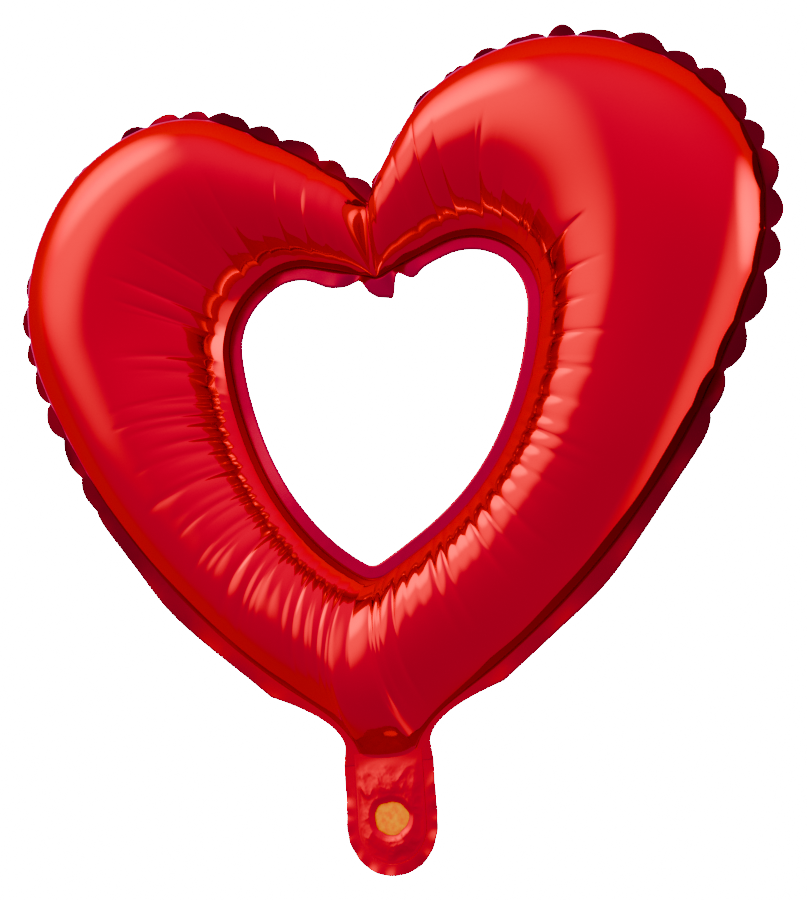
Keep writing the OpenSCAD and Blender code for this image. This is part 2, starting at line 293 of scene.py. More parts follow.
class Ring:
    """The filled heart's two seams, column by column, and how they have settled."""

    def __init__(self, heart, hole, foil):
        outer = whole(half_heart(heart, heart.shoulder_radius, SHOULDER_TURN))
        inner = whole(half_heart(hole, hole.lobe_radius, HOLE_TURN))
        for line in (outer, inner):
            line[:, 0] -= heart.lean * np.clip(1 - line[:, 1] / heart.lean_top, 0, None) ** 2
        self.columns = len(outer)
        middle = self.columns // 2
        distance, total = along(outer)
        sharp = 1 - smooth(np.minimum(distance, total - distance), *SHARP_NOTCH)
        outer, inner = eased(outer, EASE_OUTER, sharp), eased(inner, EASE_INNER, sharp)
        plain_width = np.linalg.norm(outer - inner, axis=1)
        outer += outward(outer) * sum(height * hump(distance / total, place, width)
                                      for height, place, width in SETTLED)[:, None]
        inner_distance, _ = along(inner)
        low = hump(inner_distance - inner_distance[middle], 0, POINT_SPREAD)
        inner += low[:, None] * np.array(POINT_SHIFT)
        self.open_neck(outer, foil)
        # eases the blunt tongue, and then the corner where the neck passes into the sides
        from_middle = np.abs(np.arange(self.columns) - middle)
        outer = eased(outer, 4, smooth(from_middle, 40, 50))
        corner = smooth(from_middle, 14, 30) * (1 - smooth(from_middle, 90, 120))
        outer = eased(outer, 12, 1 - corner)
        self.outer, self.inner = outer, inner
        self.distance, self.total = along(outer)
        self.inner_distance, self.inner_total = along(inner)
        self.from_point = np.abs(self.distance - self.distance[middle])
        self.scallops = Scallops(foil, self.distance, self.total, outer[:, 1])
        pinch = np.ones(self.columns)
        for share, reach in PINCHES:
            pinch -= share * np.exp(-np.minimum(self.distance, self.total - self.distance) / reach)
        narrow = (plain_width / plain_width.max()) ** DEPTH_POWER
        self.depth = heart.tube_depth / 2 * narrow * pinch
        # how far each seam stands behind (+) or before (-) the middle plane
        left = smooth(-outer[:, 0], 20 * MM, 110 * MM) * smooth(outer[:, 1], 60 * MM, 140 * MM)
        shoulder = hump(self.distance / self.total, SETTLED[0][1], 0.04)
        self.outer_y = LEFT_OUTER * left + SHOULDER_BACK * shoulder
        self.inner_y = LEFT_INNER * left

    def open_neck(self, outer, foil):
        """Leads the seam of the lower point down both sides of the neck, round a blunt tongue."""
        half = foil.tongue / 2
        height = np.linspace(0, NECK_REACH, 60)
        flare = half + NECK_FLARE * (height / FLARE_HEIGHT) ** FLARE_POWER
        turn = np.linspace(-math.pi / 2, 0, 24)[:-1]
        tongue = np.stack([half * np.cos(turn), foil.tongue_z * -np.sin(turn)], axis=1)
        for way, side in both_ways(self.columns):
            width = way * (outer[side, 0] - TAIL_MIDDLE)
            wanted = np.interp(outer[side, 1], height, flare)
            join = np.argmax((width > wanted) & (outer[side, 1] > NECK_START)
                             | (outer[side, 1] > NECK_REACH))
            keep = height < outer[side[join], 1]
            path = np.vstack([tongue, np.stack([flare[keep], height[keep]], axis=1)])
            path[:, 0] = TAIL_MIDDLE + way * path[:, 0]
            path = np.vstack([path, outer[side[join]]])
            outer[side[:join + 1]] = resampled(path, join + 1)


# ---- Meshes

def woven_sheet(name, points, uv, flip=False, thickness=0):
    """A ring of film whose grid is laid on points[row, column], and closes after its last column.

    The map has one column more, since it doesn't close."""
    rows, columns = points.shape[:2]
    mesh = bpy.data.meshes.new(name)
    bm = bmesh.new()
    bmesh.ops.create_grid(bm, x_segments=columns, y_segments=rows - 1, size=1)
    bm.verts.ensure_lookup_table()
    places = {}
    for vert in bm.verts:
        column = round((vert.co.x + 1) / 2 * columns)
        row = round((vert.co.y + 1) / 2 * (rows - 1))
        places[vert.index] = (row, column)
    layer = bm.loops.layers.uv.new("weave")
    for face in bm.faces:
        for loop in face.loops:
            row, column = places[loop.vert.index]
            loop[layer].uv = uv[row, column]
    for vert in bm.verts:
        row, column = places[vert.index]
        vert.co = points[row, column % columns]
    bmesh.ops.remove_doubles(bm, verts=bm.verts, dist=1e-7)
    if flip:
        bmesh.ops.reverse_faces(bm, faces=bm.faces)
    for face in bm.faces:
        face.smooth = True
    bm.to_mesh(mesh)
    bm.free()
    piece = bpy.data.objects.new(name, mesh)
    bpy.context.collection.objects.link(piece)
    if thickness:
        wall = piece.modifiers.new("Wall", "SOLIDIFY")
        wall.thickness = thickness
        wall.offset = 0
    return piece


def ring_uv(ring, across):
    """Map of a ring's sheet in metres: along the outer seam, and across from it."""
    distance = np.append(ring.distance, ring.total)
    across = np.hstack([across, across[:, :1]])
    return np.stack(np.broadcast_arrays(distance, across), axis=2)


def round_port(angle, radius):
    """Places at these angles and radii round the filling hole's centre."""
    return TAIL_MIDDLE + radius * np.cos(angle), PORT_Z + radius * np.sin(angle)


def disc(name, x, y, z, flip=False, thickness=0):
    """A sheet round the filling hole, mapped in metres as seen from the front."""
    uv = np.stack([x, z], axis=2)
    uv = np.concatenate([uv, uv[:, :1]], axis=1)
    return woven_sheet(name, np.stack([x, y, z], axis=2), uv, flip=flip, thickness=thickness)


def surface_normals(points, side):
    """Unit normals of a closed ring of points, towards the front (-1) or the rear (+1)."""
    down = np.gradient(points, axis=0)
    round_ = np.roll(points, -1, axis=1) - np.roll(points, 1, axis=1)
    normals = np.cross(down, round_)
    normals /= np.linalg.norm(normals, axis=2)[:, :, None] + 1e-12
    middle = normals[points.shape[0] // 2, :, 1].mean()
    return normals * (1 if middle * side > 0 else -1)


def wrapped(values, centre, total):
    """Distances from a centre, the shorter way round a closed line."""
    return (values - centre + total / 2) % total - total / 2


class Pleats:
    """Creases that run out from the opening: where each starts, how far and how deep it runs.

    A pair of spans is for the major pleats and for the minor ones, in millimetres."""
    MAJOR = 0.68                            # share of major pleats
    GAP, LAST = (0.6, 1.5), 0.6             # their spacing and the last one's, against the usual
    WIDE, WIDE_HEIGHTS = 0.6, (130 * MM, 185 * MM)      # how much wider it gets, and where
    REACH = ((56, 70), (44, 58))
    SHARP = ((0.75, 1.35), (0.10, 0.34))    # depth of the valley between two pillows
    WIDTH = ((1.2, 1.9), (0.7, 1.1))        # and its width
    SLANT = 0.03
    NEAR_POINT, NEAR_NOTCH = 36 * MM, 22 * MM
    PLUMP, PLUMPER = 0.050, 0.060           # depth of a pillow against its width, and extra below
    LOW_HEIGHTS = (110 * MM, 170 * MM)
    RISE = (5 * MM, 36 * MM)                # distances at which a pleat starts, and is at its full

    def __init__(self, ring, foil, rng):
        point = ring.inner_distance[ring.columns // 2]
        at, starts = 0.0, []
        while at < ring.inner_total - self.LAST * foil.crease:
            starts.append(at)
            height = np.interp(at, ring.inner_distance, ring.inner[:, 1])
            wide = 1.0 + self.WIDE * smooth(height, *self.WIDE_HEIGHTS)
            at += foil.crease * wide * rng.uniform(*self.GAP)
        self.starts = np.array(starts)
        count = len(starts)
        near_point = hump(wrapped(self.starts, point, ring.inner_total), 0, self.NEAR_POINT)
        near_notch = hump(wrapped(self.starts, 0, ring.inner_total), 0, self.NEAR_NOTCH)
        major = rng.random(count) < self.MAJOR

        def drawn(spans):
            """A size for each pleat, from the span of its kind."""
            return np.where(major, *[rng.uniform(*span, count) for span in spans]) * MM

        self.reach = drawn(self.REACH) * (1 + 0.45 * near_point - 0.15 * near_notch)
        self.sharp = drawn(self.SHARP) * (1 - 0.4 * near_notch)
        self.width = drawn(self.WIDTH)
        self.slant = rng.normal(0, self.SLANT, count)
        height = np.interp(self.starts, ring.inner_distance, ring.inner[:, 1])
        self.plump = self.PLUMP + self.PLUMPER * (1 - smooth(height, *self.LOW_HEIGHTS))

    def envelope(self, index, from_inner):
        """How strongly a pleat shows at a distance from the opening's seam."""
        q = from_inner / self.reach[index]
        return smooth(from_inner, *self.RISE) * np.clip(1 - q ** 2.5, 0, 1)

    def depth(self, ring, from_inner):
        """How far the pleats push the tube's surface in: pillows, with valleys between them."""
        total = ring.inner_total
        depth = np.zeros_like(from_inner)
        ends = np.append(self.starts[1:], self.starts[0] + total)
        for i, start in enumerate(self.starts):
            j = (i + 1) % len(self.starts)
            span = ends[i] - start
            offset = (ring.inner_distance - start) % total
            inside = offset < span
            t = offset[inside] / span
            shape = np.minimum(self.envelope(i, from_inner[:, inside]),
                               self.envelope(j, from_inner[:, inside]))
            depth[:, inside] += self.plump[i] * span * shape * np.abs(2 * t - 1) ** 2
            side = wrapped(ring.inner_distance, start, total)
            near = np.abs(side) < 5 * MM
            at = side[near][None] + self.slant[i] * from_inner[:, near]
            q = np.clip(from_inner[:, near] / self.reach[i], 0, 1)
            valley = np.exp(-np.abs(at) / (self.width[i] * (1.2 - 0.8 * q)))
            depth[:, near] += self.sharp[i] * valley * self.envelope(i, from_inner[:, near])
        return depth


DART_DEPTH, DART_RUN = (0.6, 1.1), (2.5, 5)     # of the darts at the weld, in millimetres
DART_WIDTH, DART_REACH = 1 * MM, 14 * MM
DENT_DEPTH, DENT_WIDTH, DENT_RUN = 0.30 * MM, 4 * MM, 3.5 * MM      # of the dent round a dart


def puckered(ring, from_outer, rng):
    """Depth of the short darts that run in from the notches of the outer weld."""
    depth = np.zeros_like(from_outer)
    strengths = ring.scallops.notch_strength(ring.distance)
    for mark, strength in zip(ring.scallops.marks[:-1], strengths):
        if strength < 0.02:
            continue
        side = wrapped(ring.distance, mark, ring.total)
        near = np.abs(side) < DART_REACH
        sharp = np.exp(-np.abs(side[near]) / DART_WIDTH)
        broad = np.exp(-(side[near] / DENT_WIDTH) ** 2)
        run = rng.uniform(*DART_RUN) * MM
        inward = from_outer[:, near]
        depth[:, near] += strength * (
            rng.uniform(*DART_DEPTH) * MM * sharp * np.exp(-inward / run)
            + DENT_DEPTH * broad * np.exp(-inward / DENT_RUN))
    return depth


ROWS = 100              # rows across a sheet of the tube
SEAM_POINT = 1.3        # 1 gives an oval tube, and more gives one drawn to a point at the seams
NECK_POINT, NECK_SPREAD = 1.6, 30 * MM      # how much more so at the neck, and how far round
DARTS_START = 1.2 * MM  # distance from a seam within which creases fade out


def tube_points(ring, side):
    """The filled tube's plain surface, from the outer seam to the inner one."""
    angle = np.linspace(0, math.pi, ROWS + 1)[:, None]
    across = np.cos(angle)
    middle = (ring.outer + ring.inner) / 2
    arm = (ring.outer - ring.inner) / 2
    flat = middle[None] + arm[None] * across[:, :, None]
    neck = hump(ring.from_point, 0, NECK_SPREAD)[None] * (across > 0) * across ** 2
    point = SEAM_POINT + NECK_POINT * neck
    height = ring.depth[None] * np.sin(angle).clip(0) ** point
    seam_y = (ring.outer_y + ring.inner_y) / 2 + (ring.outer_y - ring.inner_y) / 2 * across
    y = seam_y + side * (WELD + height)
    return standing(flat, y)


def chords(ring, distance_in):
    """How far the seam is drawn in between the notches of the weld, fading over the tube."""
    t = ring.scallops.place
    bow = 0.9 * MM * 4 * t * (1 - t) * ring.scallops.strength
    return bow * np.exp(-distance_in / (5 * MM))


def tube_sheet(name, ring, foil, side):
    """One foil sheet of the tube, front (-1) or rear (+1), with its creases and darts."""
    rng = np.random.default_rng(foil.seed * 10 + side)
    points = tube_points(ring, side)
    steps = np.linalg.norm(np.diff(points, axis=0), axis=2)
    from_outer = np.vstack([np.zeros(ring.columns), np.cumsum(steps, axis=0)])
    from_inner = from_outer[-1] - from_outer
    push = Pleats(ring, foil, rng).depth(ring, from_inner) + puckered(ring, from_outer, rng)
    ends = smooth(np.minimum(from_outer, from_inner), 0, DARTS_START)
    points -= surface_normals(points, side) * (push * ends)[:, :, None]
    points[:, :, [0, 2]] -= outward(ring.outer)[None] * chords(ring, from_outer)[:, :, None]
    return woven_sheet(name, points, ring_uv(ring, from_outer), flip=side < 0)


def standing(flat, y):
    """Points in space, from places on the middle plane and depths behind it."""
    return np.stack([flat[:, :, 0], y, flat[:, :, 1]], axis=2)


def flange(name, ring, seam, edge, seam_y, rise, rows, power, way):
    """A weld's sheet, from its seam to its edge: the outer one (-1) or the inner one (1)."""
    out = np.linspace(0, 1, rows)[:, None]
    flat = seam[None] * (1 - out[:, :, None]) + edge[None] * out[:, :, None]
    points = standing(flat, seam_y + rise * out ** power)
    across = way * np.linalg.norm(points - points[:1], axis=2)
    return woven_sheet(name, points, ring_uv(ring, across), flip=way > 0, thickness=2 * WELD)


SCALLOP_POWER = 0.74        # a smaller one makes scallops squarer
DENT, DENT_PLACE = 0.22, (0.52, 0.13)           # of a double scallop: depth, place and width
WAVE, WAVE_SPACING = 0.10, 13 * MM              # of the edge of the weld down the sides
TAB_CURL = 3.2 * MM         # how far a scallop's tip stands off the weld's plane
RIPPLE, RIPPLE_SPACING, RIPPLE_STARTS = 0.4 * MM, 6.1 * MM, (40 * MM, 70 * MM)
NOTCH_GAP = 0.2 * MM        # the two sides of the weld stop this far from the middle in the notch
NOTCH_HEIGHT = 150 * MM     # above this, the middle is the notch
NECK_JOIN = 62 * MM         # the neck's edge runs into the weld's this far round from the point
FOOT_SHARE = 0.22           # of the neck's columns, so that the foot's corner is kept


def neck_edge(ring, foil, edge):
    """Leads the weld's edge along the foot, up the tail's sides, and out along hollow flares."""
    for way, side in both_ways(ring.columns):
        count = np.argmax(ring.from_point[side] > NECK_JOIN)
        base = np.array([TAIL_MIDDLE, foil.foot_z])
        foot = np.array([TAIL_MIDDLE + way * HALF_TAIL, foil.foot_z])
        neck = np.array([TAIL_MIDDLE + way * (HALF_TAIL - 1 * MM), 2 * MM])
        bend = neck + np.array([way * 1.5 * MM, 12 * MM])
        k = np.linspace(0, 1, 40)[:, None]
        curve = neck * (1 - k) ** 2 + bend * 2 * k * (1 - k) + edge[side[count]] * k ** 2
        path = np.vstack([base, foot, curve])
        edge[side[:count + 1]] = resampled(path, count + 1, FOOT_SHARE)


def outer_flange(ring, foil):
    """The outer weld: scalloped round the lobes, and drawn down into the neck at the point."""
    t = ring.scallops.place
    strength = ring.scallops.strength
    seam = ring.outer - outward(ring.outer) * chords(ring, np.zeros(ring.columns))[:, None]
    bow = np.sin(math.pi * t).clip(0) ** SCALLOP_POWER
    bow -= ring.scallops.double * DENT * hump(t, *DENT_PLACE)
    scalloped = foil.flange * ring.scallops.tall - foil.notch * (1 - bow)
    plain = foil.flange * (1 + WAVE * np.sin(ring.distance / WAVE_SPACING))
    width = plain * (1 - strength) + scalloped * strength
    edge = seam + outward(ring.outer) * width[:, None]
    # what would cross the middle in the notch stops at it
    upper = ring.outer[:, 1] > NOTCH_HEIGHT
    right = ring.distance < ring.total / 2
    edge[:, 0] = np.where(upper & right, edge[:, 0].clip(NOTCH_GAP), edge[:, 0])
    edge[:, 0] = np.where(upper & ~right, edge[:, 0].clip(None, -NOTCH_GAP), edge[:, 0])
    neck_edge(ring, foil, edge)
    tab = ring.scallops.curl * np.sin(math.pi * t) * TAB_CURL * strength
    ripple = RIPPLE * np.sin(ring.distance / RIPPLE_SPACING) * (1 - strength)
    ripple *= smooth(ring.from_point, *RIPPLE_STARTS)
    return flange("outer_flange", ring, seam, edge, ring.outer_y, tab + ripple, 9, 1.5, -1)


# how much wider or narrower the inner weld is: share, place from the notch, spread
BUNCHES = ((0.85, 2.5 * MM, 3.2 * MM), (-0.55, -8 * MM, 4.5 * MM), (-0.50, 10 * MM, 3 * MM),
           (0.35, 16 * MM, 4 * MM), (0.30, -22 * MM, 8 * MM))


def inner_flange(ring, hole):
    """The weld round the opening: flat and taut, and bunched up in the notch."""
    s = wrapped(ring.inner_distance, 0, ring.inner_total)
    width = hole.flange * sum((share * hump(s, at, spread) for share, at, spread in BUNCHES), 1)
    edge = ring.inner - outward(ring.inner) * width[:, None]
    bunch = 2.2 * MM * hump(s, 0, 14 * MM) * np.sin(s / (2.6 * MM))
    return flange("inner_flange", ring, ring.inner, edge, ring.inner_y, bunch, 7, 1, 1)


TAIL_COLUMNS = 420
PORT_WIDE, PORT_HIGH = 7.7 * MM, 6.9 * MM       # half the filling hole's width and height
COAT_RADIUS = 7.9 * MM
POUCH, CRUMPLES, FINE_CRUMPLES = 1.4 * MM, 0.40 * MM, 0.03 * MM     # heights on the tail's sheets
FOLD_SIZE, FINE_SIZE = 9 * MM, 3.5 * MM
POUCH_LIMIT = 3.4 * MM
CLEAR = 0.1 * MM            # between the rear sheet and the valve film at its highest


def tail_radius(angle, inset, top):
    """Distance from the filling hole's centre to the tail's outline, in a direction."""
    half = HALF_TAIL - inset
    side = np.abs(half / np.where(np.abs(np.cos(angle)) < 1e-6, 1e-6, np.cos(angle)))
    above = np.where(np.sin(angle) > 1e-6, (top - PORT_Z) / np.sin(angle).clip(1e-6), 1)
    # the round end, whose centre lies below the hole's
    drop = PORT_Z - (TAIL_LOW.z + HALF_TAIL)
    under = -drop * np.sin(angle)
    end = under + np.sqrt((half ** 2 - drop ** 2 * np.cos(angle) ** 2).clip(0))
    in_end = side * np.sin(angle) < -drop
    return np.where(in_end, end, np.minimum(side, above))


def tail_angles(inset, top, count):
    """Directions round the filling hole, clockwise, that include the tail's upper corners."""
    half = HALF_TAIL - inset
    corner = math.atan2(top - PORT_Z, half)
    span = math.pi - 2 * corner
    upper = np.linspace(math.pi - corner, corner, count // 4 + 1)[:-1]
    lower = np.linspace(corner, corner - (2 * math.pi - span), count - count // 4 + 1)[:-1]
    return np.concatenate([upper, lower])


def crumple(x, z, seed, size):
    """Height of crumpled film: flat facets between sharp folds, from -1 to 1."""
    value = np.zeros(x.shape)
    for index in np.ndindex(x.shape):
        place = Vector((x[index] / size, seed, z[index] / size))
        value[index] = (noise.ridged_multi_fractal(place, 0.9, 2.1, 3, 0.9, 2.0,
                                                   noise_basis="PERLIN_ORIGINAL") - 1.1)
    return value


def port_edge(angle, wide, high):
    """The filling hole's uneven edge."""
    plain = wide * high / np.sqrt((high * np.cos(angle)) ** 2 + (wide * np.sin(angle)) ** 2)
    return plain * (1 + 0.03 * np.sin(3 * angle + 0.6) + 0.025 * np.sin(5 * angle + 2.0)
                    + 0.015 * np.sin(9 * angle))


def tail_film(name, foil, side):
    """One of the tail's two sheets, flat at its weld and crumpled round the valve."""
    top = -1 * MM
    angle = tail_angles(TAIL_WELD, top, TAIL_COLUMNS)
    rim = tail_radius(angle, TAIL_WELD, top)
    hole = port_edge(angle, PORT_WIDE, PORT_HIGH) if side < 0 else np.zeros(TAIL_COLUMNS)
    inward = np.linspace(0, 1, 64)[:, None]
    radius = rim[None] * (1 - inward) + hole[None] * inward
    x, z = round_port(angle, radius)
    from_rim = (rim[None] - radius) * 0.9
    below_top = foil.foot_z - z
    swell = smooth(from_rim, 0, 7 * MM) * smooth(below_top, -2 * MM, 12 * MM)
    folds = crumple(x, z, 3.1 + side, FOLD_SIZE)
    fine = crumple(x, z, 8.7 + side, FINE_SIZE)
    strip = hump(x, TAIL_MIDDLE, 9 * MM) * (1 - smooth(below_top, 8 * MM, 14 * MM))
    height = 0.36 * MM + POUCH * swell + 0.6 * MM * strip * smooth(below_top, -3 * MM, 2 * MM)
    # the rear sheet stands clear of the valve film that lifts towards it
    lift = FLAP_HIGH.y + (z - FLAP_LOW.z).clip(0) * math.sin(FLAP_TURN) + CLEAR
    lift *= (side > 0) * (1 - smooth(z, FLAP_HIGH.z + 0.5 * MM, -2 * MM))
    lift *= 1 - smooth(np.abs(x - TAIL_MIDDLE), HALF_FLAP + 0.4 * MM, HALF_FLAP + 4 * MM)
    height = np.maximum(height, lift + 0.4 * MM * (lift > 0.5 * MM))
    height += ((CRUMPLES * folds + FINE_CRUMPLES * fine) * smooth(from_rim, 0, 3.5 * MM)
               * smooth(below_top, -2 * MM, 6 * MM))
    height = np.maximum(height, lift)
    lip = smooth(radius - hole[None], 0, 3 * MM) if side < 0 else 1
    floor = 0.33 * MM + 0.10 * MM * smooth(from_rim, 0, 1 * MM) * smooth(-z, 6 * MM, 9 * MM)
    height = floor + (height.clip(floor, POUCH_LIMIT) - floor) * lip
    return disc(name, x, side * height, z, flip=side > 0)


def tail_weld(foil):
    """The flat weld round the tail."""
    top = foil.foot_z + 1 * MM
    angle = tail_angles(0, top, TAIL_COLUMNS)
    rim = tail_radius(angle, 0, top)
    inner = tail_radius(angle, TAIL_WELD + 0.2 * MM, top)
    inner = np.where(inner * np.sin(angle) > top - PORT_Z - 0.3 * MM, rim - 0.3 * MM, inner)
    out = np.linspace(1, 0, 12)[:, None]
    radius = rim[None] * out + inner[None] * (1 - out)
    x, z = round_port(angle, radius)
    free = smooth(top - z, 4 * MM, 16 * MM)
    y = free * out ** 2 * (0.7 * MM * np.sin(angle * 5 + 1) + 0.35 * MM * np.sin(angle * 17))
    return disc("tail_weld", x, y, z, thickness=2 * WELD - 0.04 * MM)


def coat_disc():
    """The heat-proof coat that shows through the filling hole, on its valve film."""
    angle = np.linspace(0, -2 * math.pi, 96 + 1)[:-1]
    inward = np.linspace(1, 0, 24)[:, None]
    radius = np.full(len(angle), COAT_RADIUS)[None] * inward
    x, z = round_port(angle, radius)
    fine = crumple(x, z, 5.3, 3.2 * MM)
    y = -0.02 * MM - (0.30 * MM * (1 - inward ** 2) + 0.10 * MM * fine).clip(0) * (1 - inward ** 4)
    return disc("valve_coat", x, y, z)


# ---- Materials

FOOT_BLEND = 130 * MM       # height from which a weld's colour turns into the neck's; on the curled outer weld this fades its painted shade out towards the neck


def feed(tree, node, inputs):
    """Sets each named input of a node to a value, or links it to a socket."""
    for name, value in inputs.items():
        if isinstance(value, bpy.types.NodeSocket):
            tree.links.new(value, node.inputs[name])
        else:
            node.inputs[name].default_value = value


def add(tree, kind, inputs, **settings):
    """A new shader node, with its settings and then its inputs."""
    node = tree.nodes.new("ShaderNode" + kind)
    for name, value in settings.items():
        setattr(node, name, value)
    feed(tree, node, inputs)
    return node


def two_tones(tree, mask, dark, light, low=0.0, high=1.0):
    """A colour that turns from dark to light as the mask rises."""
    ramp = add(tree, "ValToRGB", {"Fac": mask})
    for stop, at, tone in zip(ramp.color_ramp.elements, (low, high), (dark, light)):
        stop.position = at
        stop.color = (*tone, 1)
    return ramp.outputs["Color"]


def varied(tree, mask, smallest, largest):
    """A value that varies with the mask."""
    span = {"Value": mask, "To Min": smallest, "To Max": largest}
    return add(tree, "MapRange", span).outputs["Result"]


def bumped(tree, height, depth):
    """Normals of a surface that rises and falls by this depth."""
    bump = add(tree, "Bump", {"Strength": 1, "Distance": depth, "Height": height})
    return bump.outputs["Normal"]


def new_material(name):
    """A material, its node tree, and the shaded point's place on the object."""
    material = bpy.data.materials.new(name)
    material.use_nodes = True
    tree = material.node_tree
    return material, tree, add(tree, "TexCoord", {}).outputs["Object"]


def crinkle_group():
    """Fine crinkles of thin film, as a height, and a slow mask that varies its finish."""
    if "film crinkle" in bpy.data.node_groups:
        return bpy.data.node_groups["film crinkle"]
    group = bpy.data.node_groups.new("film crinkle", "ShaderNodeTree")
    for label, kind, default in (("Vector", "Vector", (0, 0, 0)), ("Scale", "Float", 60.0),
                                 ("Sharpness", "Float", 0.5)):
        socket = group.interface.new_socket(name=label, in_out="INPUT",
                                            socket_type="NodeSocket" + kind)
        socket.default_value = default
    for label in ("Height", "Mask"):
        group.interface.new_socket(name=label, in_out="OUTPUT", socket_type="NodeSocketFloat")
    entry = group.nodes.new("NodeGroupInput").outputs
    folds = add(group, "TexNoise", {"Detail": 4, "Vector": entry["Vector"],
                                    "Scale": entry["Scale"], "Roughness": entry["Sharpness"]},
                noise_type="RIDGED_MULTIFRACTAL")
    slow = add(group, "TexNoise", {"Scale": 14, "Detail": 2, "Vector": entry["Vector"]})
    feed(group, group.nodes.new("NodeGroupOutput"),
         {"Height": folds.outputs["Fac"], "Mask": slow.outputs["Fac"]})
    return group


def foil_material(name, tint, dark, rough, crinkle_scale, crinkle, coat, foot=None):
    """Metallised film: a red mirror under a clear lacquer, with crinkles and a varying finish.

    With foot, the colour turns into that one towards the neck."""
    material, tree, place = new_material(name)
    crinkles = add(tree, "Group", {"Vector": place, "Scale": crinkle_scale},
                   node_tree=crinkle_group())
    mask = crinkles.outputs["Mask"]
    base = two_tones(tree, mask, [c * dark for c in tint], tint, 0.3, 0.7)
    if foot:
        z = add(tree, "SeparateXYZ", {"Vector": place}).outputs["Z"]
        near = add(tree, "MapRange", {"Value": z, "From Min": FOOT_BLEND, "From Max": 0})
        base = add(tree, "Mix", {"Factor": near.outputs["Result"], "A": base, "B": (*foot, 1)},
                   data_type="RGBA").outputs["Result"]
    feed(tree, tree.nodes["Principled BSDF"], {
        "Base Color": base, "Metallic": 1, "Specular Tint": (0.9, 0.10, 0.14, 1),
        "Roughness": varied(tree, mask, rough * 0.6, rough * 1.4),
        "Normal": bumped(tree, crinkles.outputs["Height"], crinkle),
        "Coat Weight": coat, "Coat Roughness": 0.03})
    return material


def film_material(name, tint, rough):
    """Clear, slightly cloudy plastic film."""
    material, tree, place = new_material(name)
    cloud = add(tree, "TexNoise", {"Scale": 160, "Vector": place}).outputs["Fac"]
    feed(tree, tree.nodes["Principled BSDF"], {
        "Base Color": two_tones(tree, cloud, [c * 0.8 for c in tint], tint), "IOR": 1.45,
        "Alpha": 0.45, "Roughness": varied(tree, cloud, rough * 0.7, rough * 1.5)})
    return material


def coat_material(tint):
    """Printed orange coat, glossy and mottled."""
    material, tree, place = new_material("printed coat")
    spots = add(tree, "TexNoise", {"Scale": 420, "Detail": 3, "Vector": place}).outputs["Fac"]
    red, green, blue = tint
    dark, light = (red, green * 0.62, blue), (red, min(1, green * 1.35), blue * 6)
    feed(tree, tree.nodes["Principled BSDF"], {
        "Base Color": two_tones(tree, spots, dark, light, 0.35, 0.68), "Roughness": 0.3,
        "Specular IOR Level": 0.2, "Normal": bumped(tree, spots, 0.12 * MM),
        "Coat Weight": 0.1, "Coat Roughness": 0.05})
    return material


def finish_piece(piece, material, slot, body, *nodes):
    """Gives a piece its material, hides the CAD nodes it stands for, and attaches it to its body,
    except in the neck; slot is not used.
    """
    piece.data.materials.append(material)
    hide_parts(*nodes)
    if body == "neck":
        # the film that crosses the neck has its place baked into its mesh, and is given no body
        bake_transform(piece)
    else:
        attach(piece, body)


# ---- Operators

def heading(right, up):
    """Unit vector towards an azimuth, from straight in front to the right, and a height."""
    turn, tilt = math.radians(right), math.radians(up)
    return (math.sin(turn) * math.cos(tilt), -math.cos(turn) * math.cos(tilt), math.sin(tilt))


# soft lights round the studio: azimuth, height, core and edge angles, strength, tint
GLOWS = (
    (-54, 33, 2, 48, 0.9, (1.0, 1.8, 0.6)),
    (-72, 52, 2, 30, 1.4, (1.0, 2.3, 0.9)),
    (124, -6, 4, 40, 0.8, (1.0, 1.8, 0.6)),
    (118, 10, 2, 22, 2.0, (1.0, 2.3, 0.9)),
)


# how bright the rest of the studio looks in the foil: height, from straight down (0) to up (1)
FILL = ((0.0, 0.52), (0.35, 0.64), (0.55, 0.74), (0.80, 0.92), (1.0, 1.10))
FILL_GREEN = 0.3        # its green, against its red and blue
ROOM_LIGHT, BACKDROP = 1.1, 30      # light on the floor and in dull surfaces, and the backdrop's


